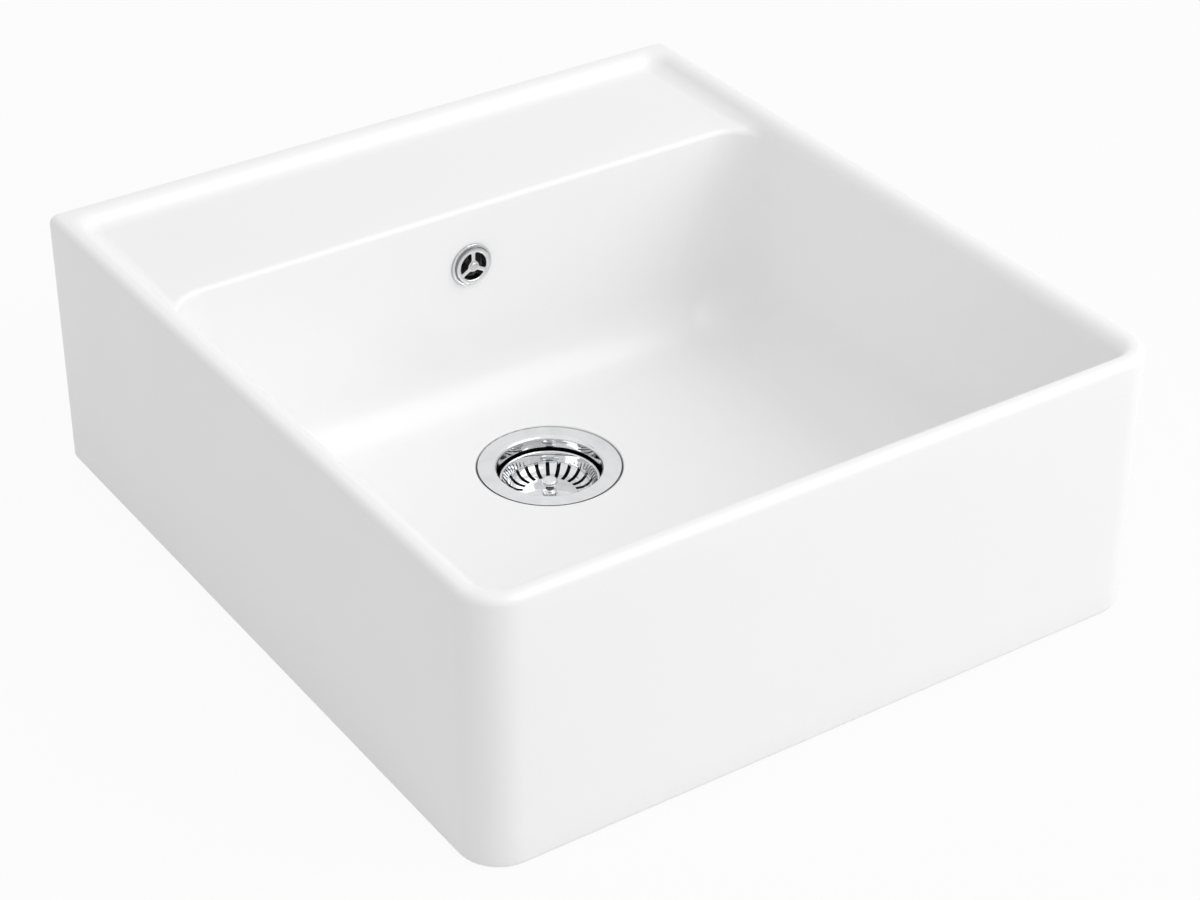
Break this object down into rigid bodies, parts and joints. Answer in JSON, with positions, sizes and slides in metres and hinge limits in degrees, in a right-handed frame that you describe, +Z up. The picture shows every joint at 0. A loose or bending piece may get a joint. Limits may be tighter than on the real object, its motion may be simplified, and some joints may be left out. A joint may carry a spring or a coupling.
{
  "type": "farmhouse apron front sink",
  "caption": "White glazed apron front kitchen sink with a rear tap ledge, overflow, and a strainer waste whose basket lifts out.",
  "frame": {"origin": "on the plane that the sink stands on, under the middle of its outer width and depth", "axes": "+X to the right seen from the front, +Y from the apron front towards the wall, +Z up"},
  "size_m": [0.595, 0.648, 0.325],
  "materials": {
    "glaze": "smooth glossy white glaze",
    "polished_steel": "bright polished stainless steel",
    "chromed_knob": "polished chrome plating",
    "steel_hardware": "plain turned stainless steel",
    "black_rubber": "matt black rubber",
    "clear_seal": "soft translucent grey sealing foam",
    "grey_rubber": "matt dark grey rubber",
    "white_plastic": "moulded white polypropylene",
    "brass_insert": "turned brass",
    "hose_plastic": "flexible light grey plastic"
  },
  "bodies": {
    "sink": {"sink_body": "glaze", "flange_seal": "clear_seal", "waste_cup": "polished_steel", "screw_washer": "steel_hardware", "body_screw": "steel_hardware", "thread_insert": "brass_insert", "body_seal": "black_rubber", "waste_body": "white_plastic", "rosette_seal": "clear_seal", "overflow_rosette": "chromed_knob", "overflow_screw": "steel_hardware", "overflow_gasket": "black_rubber", "overflow_head": "white_plastic", "overflow_insert": "brass_insert", "overflow_nut_upper": "white_plastic", "overflow_nut_lower": "white_plastic", "cone_washer_upper": "grey_rubber", "cone_washer_lower": "grey_rubber", "overflow_hose": "hose_plastic"},
    "basket": {"basket": "polished_steel", "basket_knob": "chromed_knob", "basket_stem": "white_plastic", "plug_carrier": "white_plastic", "plug_seal": "black_rubber", "plug_washer": "steel_hardware", "plug_clip": "steel_hardware"}
  },
  "joints": [
    {"name": "basket_lift", "type": "slide", "parent": "sink", "child": "basket", "axis": [0, 0, 1], "range_m": [0, 0.1]}
  ]
}
